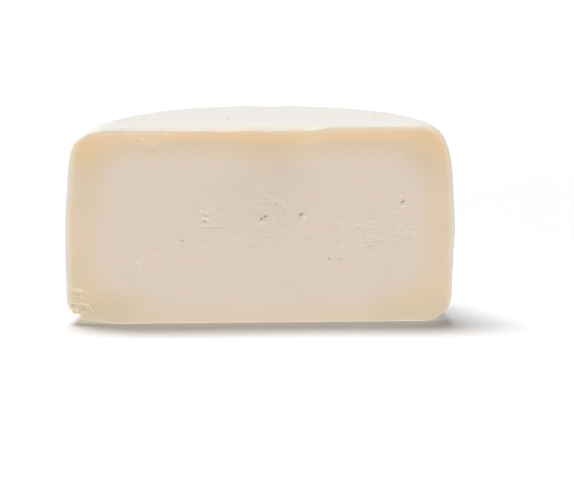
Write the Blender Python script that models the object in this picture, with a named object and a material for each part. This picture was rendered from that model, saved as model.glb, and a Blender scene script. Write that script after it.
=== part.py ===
"""Half of a pressed goat cheese wheel, standing on its flat base with the cut face to the front."""

import math

import bmesh
import bpy
from mathutils import Matrix, Vector, noise

# Driving dimensions, in metres
WHEEL_RADIUS = 0.100
WHEEL_HEIGHT = 0.1018
TOP_RIM_WIDTH = 0.0148
TOP_RIM_DROP = 0.040
TOP_RIM_POWER = 2.5
BASE_RIM_WIDTH = 0.015
BASE_RIM_RISE = 0.014
BASE_RIM_POWER = 2.1
TOP_SLOPE = 0.0045

# The wheel's axis stands on the cut, half a radius in front of the origin
CUT_Y = -WHEEL_RADIUS / 2
RIGHT_SIDE_SLACK = 0.0005

# How the cheese has settled out of round: its left shoulder sags and the side under it
# is drawn in, and its right side bulges beside the cut
LEFT_POWER = 2.14
SAG_DEPTH = 0.0067
SAG_INNER_RADIUS = 0.078
SAG_REACH_POWER = 1.55
SAG_FOOT = 0.095
HOLLOW_DEPTH = 0.0011
HOLLOW_HEIGHT = 0.074
HOLLOW_HALF_HEIGHT = 0.012
BULGE_DEPTH = 0.0008
BULGE_HEIGHT = 0.049
BULGE_HALF_HEIGHT = 0.010
BULGE_REACH = 0.030

# Fineness of the faceted surface: steps, radii of the top's rings and the cut face's cell
TURN_STEPS = 60
TOP_RIM_STEPS = 11
BASE_RIM_STEPS = 7
SIDE_STEPS = 4
CAP_RINGS = (0.080, 0.066, 0.050, 0.032, 0.014)
FACE_CELL = 0.0046

# Unevenness of the rind and of the knife cut: height and length of each wave
RIND_SWELL = 0.00035
RIND_SWELL_LENGTH = 0.035
RIND_DIMPLE = 0.00016
RIND_DIMPLE_LENGTH = 0.009
CUT_WAVE = 0.00030
CUT_WAVE_LENGTH = 0.030
CUT_RIPPLE = 0.00012
CUT_RIPPLE_LENGTH = 0.008
CUT_RIPPLE_STRETCH = 3.0

# Shares of the height over which the top's waves and the right side's slack fade
TOP_WAVE_SHARE = 0.2
SLACK_SHARE = 0.4
FLAT_TOLERANCE = 1e-6

# The top front edge is worn from the left end up to a short step on the right
WORN_LEFT_X = -0.088
WORN_FULL_X = -0.024
WORN_RIGHT_X = 0.029
WORN_STEP_X = 0.0345
WORN_DEPTH = 0.0019
WORN_REACH = 0.0042
WORN_LEAST_REACH = 0.0013
WORN_ONSET_POWER = 0.6
WORN_UNEVENNESS = 0.22
WORN_UNEVENNESS_LENGTH = 0.011
WORN_PITCH = 0.0035

# The worn edge's section: its turn in shares of its reach and drop, and how far its cutter runs out
WORN_TURN_REACH = 0.45
WORN_TURN_DROP = 0.35
WORN_FRONT_FALL = 0.0012
WORN_BACK_RISE = 0.0006
CUTTER_MARGIN = 0.003

# Eyes in the cut face: x, z, half length, half height in millimetres, and tilt in degrees
MM = 0.001
EYES = (
    (-28.1, 57.4, 1.3, 0.5, -10),
    (-28.1, 53.7, 1.3, 0.65, -15),
    (1.2, 54.8, 1.1, 0.65, 35),
    (3.1, 55.8, 1.1, 0.7, 10),
    (21.6, 56.8, 1.45, 0.68, 35),
    (74.1, 63.2, 1.6, 0.65, 33),
    (-39.6, 43.7, 1.0, 0.6, 0),
    (8.9, 62.1, 0.8, 0.6, 0),
    (11.7, 62.1, 0.6, 0.6, 0),
    (36.1, 33.7, 0.8, 0.8, 0),
    (41.6, 33.6, 0.8, 0.6, 0),
    (-62.8, 31.3, 1.1, 0.5, 5),
)
EYE_DEPTH_SHARE = 0.9
EYE_POWER = 2
EYE_ROUGHNESS = 0.18
EYE_FINENESS = 2

# Lumps broken out of the lower left corner: centre and half sizes, in millimetres,
# with y measured back from the cut, tilt in degrees, power and roughness;
# power 2 is an ellipsoid, and a higher power comes nearer to a box
CHIPS = (
    ("chip_corner", (-97.8, 0.0, 0.3), (5.3, 20.0, 5.1), 0, 5, 0.10),
    ("chip_tip", (-101.0, 0.0, 3.3), (4.7, 18.0, 4.7), 8, 4, 0.10),
    ("chip_foot", (-89.0, 0.0, -7.0), (17.0, 26.0, 9.6), 0, 2, 0.16),
    ("chip_notch", (-96.5, -0.1, 10.1), (0.9, 1.3, 0.5), 12, 2, 0.26),
    ("chip_upper_crease", (-90.6, -0.1, 18.4), (2.1, 0.7, 0.35), -12, 2, 0.26),
    ("chip_recess", (-94.6, -0.2, 14.0), (2.6, 0.7, 0.9), -4, 2, 0.26),
    ("chip_hollow", (-90.2, -0.2, 8.9), (2.7, 0.9, 1.7), -20, 2, 0.26),
    ("chip_lower_crease", (-87.2, -0.1, 6.5), (1.9, 0.6, 0.55), -32, 2, 0.26),
)
CHIP_FINENESS = 3
LUMP_WAVES = 2.2
LUMP_SHIFT = 400.0

SMOOTH_ANGLE = math.radians(35)
PASTE_COLOUR = (0.72, 0.60, 0.50, 1.0)
PASTE_ROUGHNESS = 0.55


def superellipse(width, height, power, steps):
    """Offsets (out, up) along a quarter of a superellipse, from its flat end to its upright end."""
    offsets = []
    for i in range(steps + 1):
        turn = 0.5 * math.pi * i / steps
        out = width * math.sin(turn) ** (2 / power)
        up = height * math.cos(turn) ** (2 / power)
        offsets.append((out, up))
    return offsets


def wheel_profile():
    """Points (radius, height) from the middle of the top, over the side, to the middle of the base."""
    points = [(0.0, WHEEL_HEIGHT)]
    points += [(radius, WHEEL_HEIGHT) for radius in reversed(CAP_RINGS)]
    inner = WHEEL_RADIUS - TOP_RIM_WIDTH
    shoulder = WHEEL_HEIGHT - TOP_RIM_DROP
    for out, up in superellipse(TOP_RIM_WIDTH, TOP_RIM_DROP, TOP_RIM_POWER, TOP_RIM_STEPS):
        points.append((inner + out, shoulder + up))
    for i in range(1, SIDE_STEPS):
        points.append((WHEEL_RADIUS, shoulder + (BASE_RIM_RISE - shoulder) * i / SIDE_STEPS))
    inner = WHEEL_RADIUS - BASE_RIM_WIDTH
    for out, up in reversed(superellipse(BASE_RIM_WIDTH, BASE_RIM_RISE, BASE_RIM_POWER, BASE_RIM_STEPS)):
        points.append((inner + out, BASE_RIM_RISE - up))
    points.append((0.0, 0.0))
    return points


def spin_half_turn(bm):
    """Turns the profile half way round the wheel's axis."""
    verts = [bm.verts.new((radius, CUT_Y, height)) for radius, height in wheel_profile()]
    edges = [bm.edges.new(pair) for pair in zip(verts, verts[1:])]
    bmesh.ops.spin(
        bm,
        geom=verts + edges,
        cent=(0.0, CUT_Y, 0.0),
        axis=(0.0, 0.0, 1.0),
        angle=math.pi,
        steps=TURN_STEPS,
        use_duplicate=False,
    )
    bmesh.ops.remove_doubles(bm, verts=bm.verts[:], dist=FLAT_TOLERANCE)


def cut_face_geometry(bm):
    """The faces that lie in the cut, with their edges and vertices."""
    faces = [f for f in bm.faces if all(abs(v.co.y - CUT_Y) < FLAT_TOLERANCE for v in f.verts)]
    edges = {e for f in faces for e in f.edges}
    verts = {v for f in faces for v in f.verts}
    return faces + list(edges) + list(verts)


def fill_cut_face(bm):
    """Closes the half wheel with a flat face and slices that face into a grid."""
    rim = [e for e in bm.edges if e.is_boundary]
    bmesh.ops.contextual_create(bm, geom=rim)
    columns = round(2 * WHEEL_RADIUS / FACE_CELL)
    for i in range(1, columns):
        place = Vector((-WHEEL_RADIUS + 2 * WHEEL_RADIUS * i / columns, CUT_Y, 0.0))
        bmesh.ops.bisect_plane(bm, geom=cut_face_geometry(bm), plane_co=place, plane_no=(1, 0, 0))
    rows = round(WHEEL_HEIGHT / FACE_CELL)
    for i in range(1, rows):
        place = Vector((0.0, CUT_Y, WHEEL_HEIGHT * i / rows))
        bmesh.ops.bisect_plane(bm, geom=cut_face_geometry(bm), plane_co=place, plane_no=(0, 0, 1))


def rind_offset(point):
    """Swell and dimples of the rind, along its own outward direction."""
    outward = Vector((point.x, point.y - CUT_Y, 0.0))
    share = min(1.0, outward.length / WHEEL_RADIUS)
    direction = outward.normalized()
    swell = RIND_SWELL * noise.noise(point / RIND_SWELL_LENGTH)
    dimple = RIND_DIMPLE * noise.noise(point / RIND_DIMPLE_LENGTH)
    offset = (swell + dimple) * share * direction
    below_top = 1.0 - point.z / WHEEL_HEIGHT
    offset.z = (swell + dimple) * max(0.0, 1.0 - below_top / TOP_WAVE_SHARE)
    return offset


def cut_offset(point):
    """Slow waves and fine drag marks that the knife leaves, along the cut's normal."""
    wave = CUT_WAVE * noise.noise(point / CUT_WAVE_LENGTH)
    stretched = Vector((point.x / CUT_RIPPLE_STRETCH, point.y, point.z))
    ripple = CUT_RIPPLE * noise.noise(stretched / CUT_RIPPLE_LENGTH)
    return Vector((0.0, wave + ripple, 0.0))


def held_to_one(value):
    """The value, held between 0 and 1."""
    return min(1.0, max(0.0, value))


def settled_offset(point):
    """How far the left shoulder's sag, the hollow under it and the right bulge move a point."""
    outward = Vector((point.x, point.y - CUT_Y, 0.0))
    radius = outward.length
    if radius < FLAT_TOLERANCE:
        return Vector()
    left = max(0.0, -point.x / radius) ** LEFT_POWER
    reach = held_to_one((radius - SAG_INNER_RADIUS) / (WHEEL_RADIUS - SAG_INNER_RADIUS))
    high = held_to_one((point.z - SAG_FOOT) / (WHEEL_HEIGHT - SAG_FOOT))
    sag = SAG_DEPTH * left * reach**SAG_REACH_POWER * high
    level = (point.z - HOLLOW_HEIGHT) / HOLLOW_HALF_HEIGHT
    hollow = HOLLOW_DEPTH * left * math.exp(-level * level)
    level = (point.z - BULGE_HEIGHT) / BULGE_HALF_HEIGHT
    behind = (point.y - CUT_Y) / BULGE_REACH
    right = max(0.0, point.x / radius)
    bulge = BULGE_DEPTH * right * math.exp(-level * level - behind * behind)
    return (bulge - hollow) / WHEEL_RADIUS * outward - Vector((0.0, 0.0, sag))


def make_uneven(bm):
    """Settles and roughens the half wheel, and slopes its top, while the base stays flat."""
    for vert in bm.verts:
        point = vert.co.copy()
        on_base = point.z < FLAT_TOLERANCE
        on_cut = abs(point.y - CUT_Y) < FLAT_TOLERANCE
        offset = rind_offset(point)
        if on_cut:
            offset.y = 0.0
            offset += cut_offset(point)
        if on_base:
            offset.z = 0.0
        right = max(0.0, point.x / WHEEL_RADIUS)
        low = max(0.0, 1.0 - point.z / (SLACK_SHARE * WHEEL_HEIGHT))
        slack = Vector((-RIGHT_SIDE_SLACK * right * low, 0.0, 0.0))
        slope = Vector((0.0, 0.0, TOP_SLOPE * point.x * point.z / WHEEL_HEIGHT))
        vert.co = point + offset + slack + slope + settled_offset(point)


def paste_material():
    """A pale, slightly waxy paste."""
    material = bpy.data.materials.new("paste")
    material.use_nodes = True
    shader = material.node_tree.nodes["Principled BSDF"]
    shader.inputs["Base Color"].default_value = PASTE_COLOUR
    shader.inputs["Roughness"].default_value = PASTE_ROUGHNESS
    shader.inputs["Metallic"].default_value = 0.0
    return material


def object_from(bm, name):
    """Links a new object that holds the given mesh, with its faces turned outwards."""
    bmesh.ops.recalc_face_normals(bm, faces=bm.faces[:])
    mesh = bpy.data.meshes.new(name)
    bm.to_mesh(mesh)
    bm.free()
    obj = bpy.data.objects.new(name, mesh)
    bpy.context.scene.collection.objects.link(obj)
    return obj


def make_half_wheel():
    """The half wheel before anything is broken or worn off it."""
    bm = bmesh.new()
    spin_half_turn(bm)
    fill_cut_face(bm)
    make_uneven(bm)
    bmesh.ops.triangulate(bm, faces=bm.faces[:])
    half_wheel = object_from(bm, "half_wheel")
    half_wheel.data.materials.append(paste_material())
    half_wheel.data.shade_smooth()
    half_wheel.data.set_sharp_from_angle(angle=SMOOTH_ANGLE)
    return half_wheel


def rough_lump(bm, centre, half_sizes, tilt, power, roughness, subdivisions):
    """Adds an uneven superellipsoid, tilted about the line of sight onto the cut."""
    ball = bmesh.ops.create_icosphere(bm, subdivisions=subdivisions, radius=1.0)
    turn = Matrix.Rotation(tilt, 4, "Y")
    for vert in ball["verts"]:
        fullness = sum(abs(value) ** power for value in vert.co) ** (-1 / power)
        push = 1.0 + roughness * noise.noise(LUMP_WAVES * vert.co + LUMP_SHIFT * centre)
        shaped = Vector(push * fullness * vert.co[i] * half_sizes[i] for i in range(3))
        vert.co = centre + turn @ shaped


def cutter_object(bm, name):
    """A hidden object that only cuts."""
    cutter = object_from(bm, name)
    cutter.hide_render = True
    cutter.display_type = "WIRE"
    return cutter


def make_eye_cutter():
    """All the small eyes in the cut face."""
    bm = bmesh.new()
    for x, z, half_length, half_height, tilt in EYES:
        centre = Vector((x * MM, CUT_Y, z * MM))
        half_sizes = (half_length * MM, half_length * EYE_DEPTH_SHARE * MM, half_height * MM)
        turn = -math.radians(tilt)
        rough_lump(bm, centre, half_sizes, turn, EYE_POWER, EYE_ROUGHNESS, EYE_FINENESS)
    return cutter_object(bm, "eyes")


def make_chip_cutters():
    """The lumps that crumbled from the lower left corner, one cutter each."""
    cutters = []
    for name, place, sizes, tilt, power, roughness in CHIPS:
        bm = bmesh.new()
        centre = MM * Vector(place) + Vector((0.0, CUT_Y, 0.0))
        turn = -math.radians(tilt)
        rough_lump(bm, centre, MM * Vector(sizes), turn, power, roughness, CHIP_FINENESS)
        cutters.append(cutter_object(bm, name))
    return cutters


def worn_depth(x):
    """How far the top front edge is worn down at x."""
    if x <= WORN_LEFT_X or x >= WORN_STEP_X:
        return 0.0
    if x < WORN_FULL_X:
        share = (x - WORN_LEFT_X) / (WORN_FULL_X - WORN_LEFT_X)
        return WORN_DEPTH * share**WORN_ONSET_POWER
    if x > WORN_RIGHT_X:
        return WORN_DEPTH * (WORN_STEP_X - x) / (WORN_STEP_X - WORN_RIGHT_X)
    return WORN_DEPTH


def make_wear_cutter():
    """A long wedge that takes the top front edge away down to its worn line."""
    bm = bmesh.new()
    rings = []
    steps = math.ceil((WORN_STEP_X - WORN_LEFT_X) / WORN_PITCH)
    for i in range(steps + 1):
        x = WORN_LEFT_X + (WORN_STEP_X - WORN_LEFT_X) * i / steps
        along = Vector((x / WORN_UNEVENNESS_LENGTH, 0.0, 0.0))
        drop = worn_depth(x) * (1.0 + WORN_UNEVENNESS * noise.noise(along))
        reach = WORN_LEAST_REACH + (WORN_REACH - WORN_LEAST_REACH) * drop / WORN_DEPTH
        top = WHEEL_HEIGHT + TOP_SLOPE * x + settled_offset(Vector((x, CUT_Y, WHEEL_HEIGHT))).z
        section = (
            (CUT_Y - CUTTER_MARGIN, top - drop - WORN_FRONT_FALL),
            (CUT_Y, top - drop),
            (CUT_Y + WORN_TURN_REACH * reach, top - WORN_TURN_DROP * drop),
            (CUT_Y + reach, top + WORN_BACK_RISE),
            (CUT_Y + reach, top + CUTTER_MARGIN),
            (CUT_Y - CUTTER_MARGIN, top + CUTTER_MARGIN),
        )
        rings.append([bm.verts.new((x, y, z)) for y, z in section])
    for ring, following in zip(rings, rings[1:]):
        for j in range(len(ring)):
            k = (j + 1) % len(ring)
            bm.faces.new((ring[j], ring[k], following[k], following[j]))
    bm.faces.new(rings[0])
    bm.faces.new(reversed(rings[-1]))
    bmesh.ops.triangulate(bm, faces=bm.faces[:])
    return cutter_object(bm, "worn_edge")


def cut_with(body, cutter):
    """Takes the cutter out of the body with a Boolean that stays on it."""
    modifier = body.modifiers.new(cutter.name, "BOOLEAN")
    modifier.operation = "DIFFERENCE"
    modifier.solver = "EXACT"
    modifier.object = cutter


def main():
    """Builds the half wheel in an empty scene."""
    for obj in list(bpy.data.objects):
        bpy.data.objects.remove(obj)
    half_wheel = make_half_wheel()
    for cutter in [make_wear_cutter(), make_eye_cutter(), *make_chip_cutters()]:
        cut_with(half_wheel, cutter)


main()
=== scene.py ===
"""Half of a pressed goat cheese wheel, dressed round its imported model, with crumbs and a plain studio."""

import math
import random

import bmesh
import bpy
import numpy as np
from bpy.props import FloatProperty, FloatVectorProperty, IntProperty, PointerProperty
from mathutils import Matrix, Vector, noise
from mathutils.bvhtree import BVHTree


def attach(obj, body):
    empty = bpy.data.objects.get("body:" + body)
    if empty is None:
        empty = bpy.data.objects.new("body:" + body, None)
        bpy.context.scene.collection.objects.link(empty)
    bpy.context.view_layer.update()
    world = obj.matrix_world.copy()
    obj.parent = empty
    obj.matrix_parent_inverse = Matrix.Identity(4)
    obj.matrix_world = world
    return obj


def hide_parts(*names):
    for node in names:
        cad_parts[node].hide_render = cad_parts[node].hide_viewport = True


bl_info = {
    "name": "Goat Cheese Half Wheel",
    "version": (1, 0, 0),
    "blender": (4, 5, 0),
    "location": "3D View > Sidebar > Goat Cheese",
    "description": "Makes the surface, crumbs and studio of half a goat cheese wheel",
    "category": "Object",
}

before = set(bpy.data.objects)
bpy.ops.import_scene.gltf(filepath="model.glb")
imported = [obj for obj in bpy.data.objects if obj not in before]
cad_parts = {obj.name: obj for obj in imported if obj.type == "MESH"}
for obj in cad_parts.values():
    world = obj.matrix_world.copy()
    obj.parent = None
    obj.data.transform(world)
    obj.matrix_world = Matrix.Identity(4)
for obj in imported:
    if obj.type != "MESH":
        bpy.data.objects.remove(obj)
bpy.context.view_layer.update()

MM = 0.001
CUT_Y = -0.050

# The quarter turns of the wheel's outline: powers of the two superellipses, and points on each
TOP_RIM_POWER = 2.5
BASE_RIM_POWER = 2.1
RIM_STEPS = 24

# A turn between neighbours' normals that counts as a sharp edge, in degrees, and for how many rings
# of vertices beside it the surface stays crisp and then fades
SHARP_TURN = 14
CRISP_RINGS = 2
CRISP_FADE_RINGS = 4
SOFTNESS_LEVELS = 10

# How far behind the cut the mesh stays fine, in millimetres, and how near to a mark
FINE_BEHIND = 2.5
FINE_MARGIN = 0.3

# A point whose normal passes this value looks to the front, down or up
LOOKS_FRONT = -0.6
LOOKS_DOWN = -0.7
LOOKS_UP = 0.8

# How far from their planes the cut and the base count as flat, and how deep the rind's relief reaches,
# in millimetres
CUT_REACH = 0.8
BASE_REACH = 0.25
RIND_REACH = 0.9

# Relief in the cut, in millimetres: x, z, half length, half height, tilt in degrees, and depth,
# which is negative where the place stands proud
CUT_MARKS = (
    (-23.0, 50.4, 7.8, 0.45, 1, 0.23),
    (-17.0, 52.2, 4.0, 0.45, 3, 0.08),
    (-27.6, 55.2, 1.8, 0.55, -8, -0.40),
    (-29.2, 59.2, 1.6, 0.5, -12, -0.20),
    (23.6, 55.4, 1.5, 0.6, 35, -0.35),
    (2.2, 53.0, 1.7, 0.5, 12, -0.35),
    (73.8, 60.7, 2.2, 0.55, 10, -0.45),
    (73.0, 66.9, 2.6, 0.4, 4, -0.25),
    (80.3, 64.2, 0.6, 0.5, 0, 0.30),
    (13.4, 61.7, 0.7, 0.6, 0, -0.25),
    (-62.0, 96.0, 0.9, 0.7, 0, 0.40),
    (-57.2, 91.2, 0.7, 0.5, 10, 0.30),
    (-54.9, 91.5, 0.7, 0.5, -20, 0.26),
    (-56.6, 89.7, 0.6, 0.5, 0, 0.26),
    (-53.6, 89.9, 0.7, 0.5, 0, 0.24),
    (-38.2, 92.1, 0.8, 0.6, 0, 0.14),
    (-35.9, 90.2, 0.6, 0.5, 30, 0.10),
    (-46.9, 99.1, 1.3, 0.8, -8, -0.40),
    (68.5, 98.8, 1.6, 0.5, -12, -0.30),
    (10.0, 56.6, 0.70, 2.6, 0, 0.06),
    (13.1, 57.4, 0.75, 3.0, 3, 0.10),
    (-37.4, 41.0, 0.7, 0.6, 0, 0.22),
    (-41.4, 44.9, 0.6, 0.4, 0, 0.20),
    (-63.6, 29.6, 1.6, 0.45, -30, 0.12),
    (-59.8, 32.8, 1.1, 0.4, -30, 0.09),
    (-12.6, 50.2, 0.8, 0.4, 0, 0.16),
    (-9.0, 46.6, 0.6, 0.5, 0, 0.18),
    (44.9, 35.6, 0.6, 0.5, 0, 0.22),
    (64.8, 37.4, 0.5, 0.5, 0, 0.20),
    (54.0, 33.2, 0.7, 0.5, 0, 0.22),
    (50.3, 66.6, 1.8, 0.4, 0, -0.12),
    (5.0, 71.0, 0.5, 0.4, 0, 0.16),
    (-7.0, 60.0, 0.5, 0.4, 0, 0.16),
    (-94.6, 16.7, 3.7, 1.5, -12, 0.36),
    (-94.2, 11.8, 3.2, 0.9, -6, -0.12),
    (-90.4, 10.6, 2.2, 0.7, -16, -0.22),
    (-87.6, 9.0, 1.3, 0.6, -62, -0.18),
    (-94.2, 7.6, 1.2, 1.7, 0, -0.35),
)

# Colour of small places in the cut: x, z, half length, half height in millimetres, tilt in degrees,
# and how far the place goes to the pits' colour, or where negative to the lips' colour. Most are painted
# light: painted shade deep in the eyes and in the broken corner, painted highlights on raised lips and
# ledges.
CUT_TONES_AND_PAINTED_LIGHT = (
    (-28.0, 57.0, 1.4, 0.7, -10, -0.24),
    (-28.1, 53.4, 1.3, 0.6, -15, 0.05),
    (-27.6, 55.2, 1.9, 0.6, -8, -0.60),
    (-23.0, 50.4, 7.8, 0.45, 1, 0.06),
    (1.0, 54.7, 1.2, 0.65, 30, 0.42),
    (3.2, 55.7, 1.0, 0.55, 5, 0.60),
    (2.2, 56.4, 3.2, 2.2, 10, 0.045),
    (2.2, 53.0, 1.8, 0.6, 12, -0.35),
    (21.5, 56.7, 1.5, 0.55, 35, 0.36),
    (23.0, 57.6, 3.4, 2.2, 40, 0.050),
    (23.8, 55.2, 1.6, 0.6, 35, -0.30),
    (74.0, 63.2, 1.8, 0.8, 33, 0.11),
    (74.2, 64.0, 2.8, 2.0, 30, 0.030),
    (74.8, 61.3, 2.3, 0.8, 22, -0.45),
    (77.4, 64.4, 1.6, 1.0, 40, -0.25),
    (73.0, 66.9, 2.6, 0.4, 4, -0.12),
    (-39.6, 43.7, 1.0, 0.7, 0, 0.02),
    (-39.6, 43.6, 2.6, 1.8, 0, 0.050),
    (8.9, 61.8, 0.9, 0.7, 0, 0.04),
    (11.7, 61.8, 0.6, 0.6, 0, 0.04),
    (13.4, 61.7, 0.8, 0.6, 0, -0.30),
    (10.0, 56.6, 0.9, 2.6, 0, 0.03),
    (13.1, 57.4, 0.9, 3.0, 3, 0.04),
    (36.1, 33.7, 0.8, 0.9, 0, 0.14),
    (41.6, 33.6, 0.8, 0.6, 0, 0.14),
    (43.4, 33.8, 0.8, 0.5, 0, -0.30),
    (-62.8, 31.3, 1.5, 0.9, 5, -0.55),
    (-62.8, 30.6, 3.0, 2.2, 0, 0.035),
    (-62.0, 96.0, 0.9, 0.7, 0, 0.14),
    (-57.2, 91.2, 0.7, 0.5, 10, 0.14),
    (-54.9, 91.5, 0.7, 0.5, -20, 0.12),
    (-56.6, 89.7, 0.6, 0.5, 0, 0.12),
    (-53.6, 89.9, 0.7, 0.5, 0, 0.12),
    # The broken corner: painted highlights on its ledges and arcs and in some of its hollows, and painted
    # shade in its notch and over the upper ledge
    (-93.8, 18.1, 3.8, 0.8, -13, -0.58),
    (-90.8, 19.1, 2.0, 0.35, -10, 0.10),
    (-94.6, 14.0, 2.4, 0.8, -4, -0.12),
    (-93.6, 12.2, 2.6, 0.6, -5, -0.06),
    (-91.7, 13.7, 0.6, 0.5, 0, 0.04),
    (-96.3, 10.1, 1.2, 0.6, 0, 0.25),
    (-90.4, 10.6, 2.3, 0.7, -16, -0.50),
    (-87.6, 9.0, 1.3, 0.6, -62, -0.40),
    (-89.7, 8.2, 1.4, 0.7, -20, -0.50),
    (-93.5, 13.4, 0.9, 0.6, 0, -0.70),
    (-90.0, 7.4, 2.4, 0.8, -20, -0.20),
    (-87.0, 6.5, 1.6, 0.5, -31, 0.04),
    (-94.0, 8.2, 1.4, 1.6, 0, -0.35),
)

# Broad soft shades of the cut in the same columns, too faint and wide to need a fine mesh, and one painted
# highlight
CUT_SHADES = (
    (3.3, 69.0, 26.0, 24.0, 0, 0.070),
    (9.8, 84.0, 5.0, 13.0, 0, 0.025),
    (18.0, 76.0, 7.0, 9.0, 0, 0.025),
    (-88.0, 75.0, 10.0, 20.0, 0, 0.070),
    (88.0, 86.0, 13.0, 17.0, 0, 0.060),
    (-78.0, 8.4, 13.0, 9.0, 0, 0.080),
    (-95.0, 26.0, 8.0, 10.0, 0, 0.040),
    (-60.0, 60.0, 16.0, 12.0, 20, -0.030),
    (-60.0, 96.5, 14.0, 5.0, 0, -0.160),
    # A painted highlight along the lit top right edge of the cut
    (88.2, 100.4, 4.5, 1.4, -22, -0.500),
    (26.0, 95.5, 7.0, 4.0, 0, -0.150),
)

# Where the knife left ripples: x, z, reach along x, reach along z in millimetres, strength
RIPPLE_PATCHES = (
    (64.0, 46.5, 24.0, 8.0, 0.40),
    (56.0, 56.0, 30.0, 13.0, 0.17),
    (45.0, 38.0, 22.0, 7.0, 0.24),
    (-25.0, 57.0, 10.0, 12.0, 0.32),
    (4.0, 66.0, 13.0, 6.0, 0.40),
    (5.0, 46.0, 16.0, 8.0, 0.25),
    (-50.0, 36.0, 24.0, 13.0, 0.14),
    (-55.0, 52.0, 22.0, 14.0, 0.06),
)
RIPPLE_LEAST = 0.06

# How the cheese has settled: the left shoulder sags and the side under it is drawn in, and
# the right side bulges beside the cut
LEFT_POWER = 2.14
SAG_INNER_RADIUS = 0.078
SAG_REACH_POWER = 1.55
SAG_FOOT = 0.095
HOLLOW_HEIGHT = 0.074
HOLLOW_HALF_HEIGHT = 0.012
BULGE_HEIGHT = 0.049
BULGE_HALF_HEIGHT = 0.010
BULGE_REACH = 0.030

# How far the outer surface dips under the even wheel at most, in millimetres, and is still all rind
OUTER_DIP = 0.8

# The worn stretch of the top front edge, in millimetres along x
WORN_LEFT_X = -88.0
WORN_FULL_X = -24.0
WORN_RIGHT_X = 29.0
WORN_STEP_X = 34.5
WORN_DEPTH = 1.9
WORN_ONSET_POWER = 0.6

# Small marks on the top: x, distance behind the cut, half length, half width in millimetres, depth
TOP_MARKS = (
    (-16.3, 56.8, 2.0, 4.0, 0.30),
    (-14.7, 37.2, 1.4, 3.4, 0.45),
    (-12.7, 54.2, 1.4, 3.0, 0.25),
    (-18.9, 45.0, 1.2, 3.4, 0.20),
    (-9.6, 42.0, 1.2, 2.6, 0.20),
    (-22.5, 33.0, 1.5, 2.2, 0.16),
    (38.0, 61.0, 2.6, 3.6, 0.18),
    (-58.0, 20.0, 2.4, 2.2, 0.16),
    (14.0, 78.0, 3.0, 3.0, 0.22),
    (10.0, 93.0, 9.0, 11.0, 0.80),
)

# Ovals of colour in millimetres: middle and half size, each across and then up the cut or back on the top
WARM_OVAL = (5.0, 86.0, 17.0, 12.0)
DRIER_OVAL = (-74.0, 97.0, 20.0, 6.0)
STAIN_OVAL = (62.6, 37.6, 3.4, 11.0)
STAIN_MIDDLE = (62.2, 35.0, 1.4, 5.0)
SPECK_OVAL = (-14.7, 37.2, 1.3, 3.2)

# Tints, which multiply the colour of the cheese or the crumbs in some places
# Painted shade, darker and duller near the floor
LOW_SHADE_TINT = (0.925, 0.955, 0.945)
RIGHT_CORNER_TINT = (0.965, 0.985, 1.010)
BASE_CORNER_TINT = (1.0, 0.985, 0.935)
WARM_TINT = (1.012, 0.982, 0.945)
DRIER_TINT = (0.985, 0.992, 1.035)
BROAD_PATCH_TINT = (1.0, 0.985, 0.985)
SMALL_PATCH_TINT = (0.985, 0.985, 0.97)
GRAIN_TINT = (0.975, 0.97, 0.96)
WORN_TINT = (0.875, 0.885, 0.930)
# Painted highlight along the top's front edge
EDGE_HIGHLIGHT_TINT = (1.070, 1.075, 1.060)
BAND_TINT = (1.0, 0.998, 0.965)
PORE_TINT = (0.93, 0.90, 0.84)
# Painted shade in the hollows of the knife's ripples
RIPPLE_HOLLOW_SHADE = (0.950, 0.945, 0.935)
STAIN_TINT = (0.93, 0.93, 0.86)
SPECK_TINT = (0.91, 0.90, 0.88)
CRUMBLE_TINT = (0.95, 0.91, 0.85)
CRUMB_TINT = (0.94, 0.91, 0.86)

# How deep light enters the cheese and the crumbs, in metres
CHEESE_GLOW = 0.0030
CRUMB_GLOW = 0.0010

# Where crumbs may lie on the broken corner, in millimetres, how level a ledge is that holds one,
# and how many places are tried
CRUMBS_X = (-99.0, -85.5)
CRUMBS_BEHIND = (0.25, 4.0)
CRUMBS_Z = (3.0, 19.0)
LEAST_LEVEL = 0.2
CRUMB_TRIES = 4000

# Directions of the two high lights and of the low front one, and their spreads in degrees
KEY_SUNS = (("key_left", (-0.36, 0.31, 1.0)), ("key_right", (-0.03, 0.31, 1.0)))
KEY_SPREAD = 20.0
FRONT_SUN = (-0.49, -0.86, 0.15)
FRONT_SPREAD = 10.0
SUN_DISTANCE = 3.0

# Between these heights, in degrees, the light of the horizon fades to the sky's
HORIZON_FADE = (6.0, 18.0)

# Height that the camera looks at, and how far right of and below it the picture's middle lies, in metres
VIEW_HEIGHT = 0.05075
VIEW_ASIDE = 0.01401
VIEW_BELOW = 0.00726

FLOOR_HALF_SIZE = 8.0
FLOOR_GAP = 0.00003


def smooth_step(low, high, value):
    """0 below low, 1 above high, and a soft turn between them, for numbers or arrays."""
    share = np.clip((value - low) / (high - low), 0.0, 1.0)
    return share * share * (3.0 - 2.0 * share)


def number(name, description, default, **kind):
    """A setting that is a number, with a unit or subtype where one fits."""
    return FloatProperty(name=name, description=description, default=default, **kind)


def metres(name, description, default):
    """A setting in metres."""
    return number(name, description, default, unit="LENGTH")


def shade(name, description, default):
    """A setting that is a colour."""
    return FloatVectorProperty(name=name, description=description, default=default, subtype="COLOR")


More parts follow.
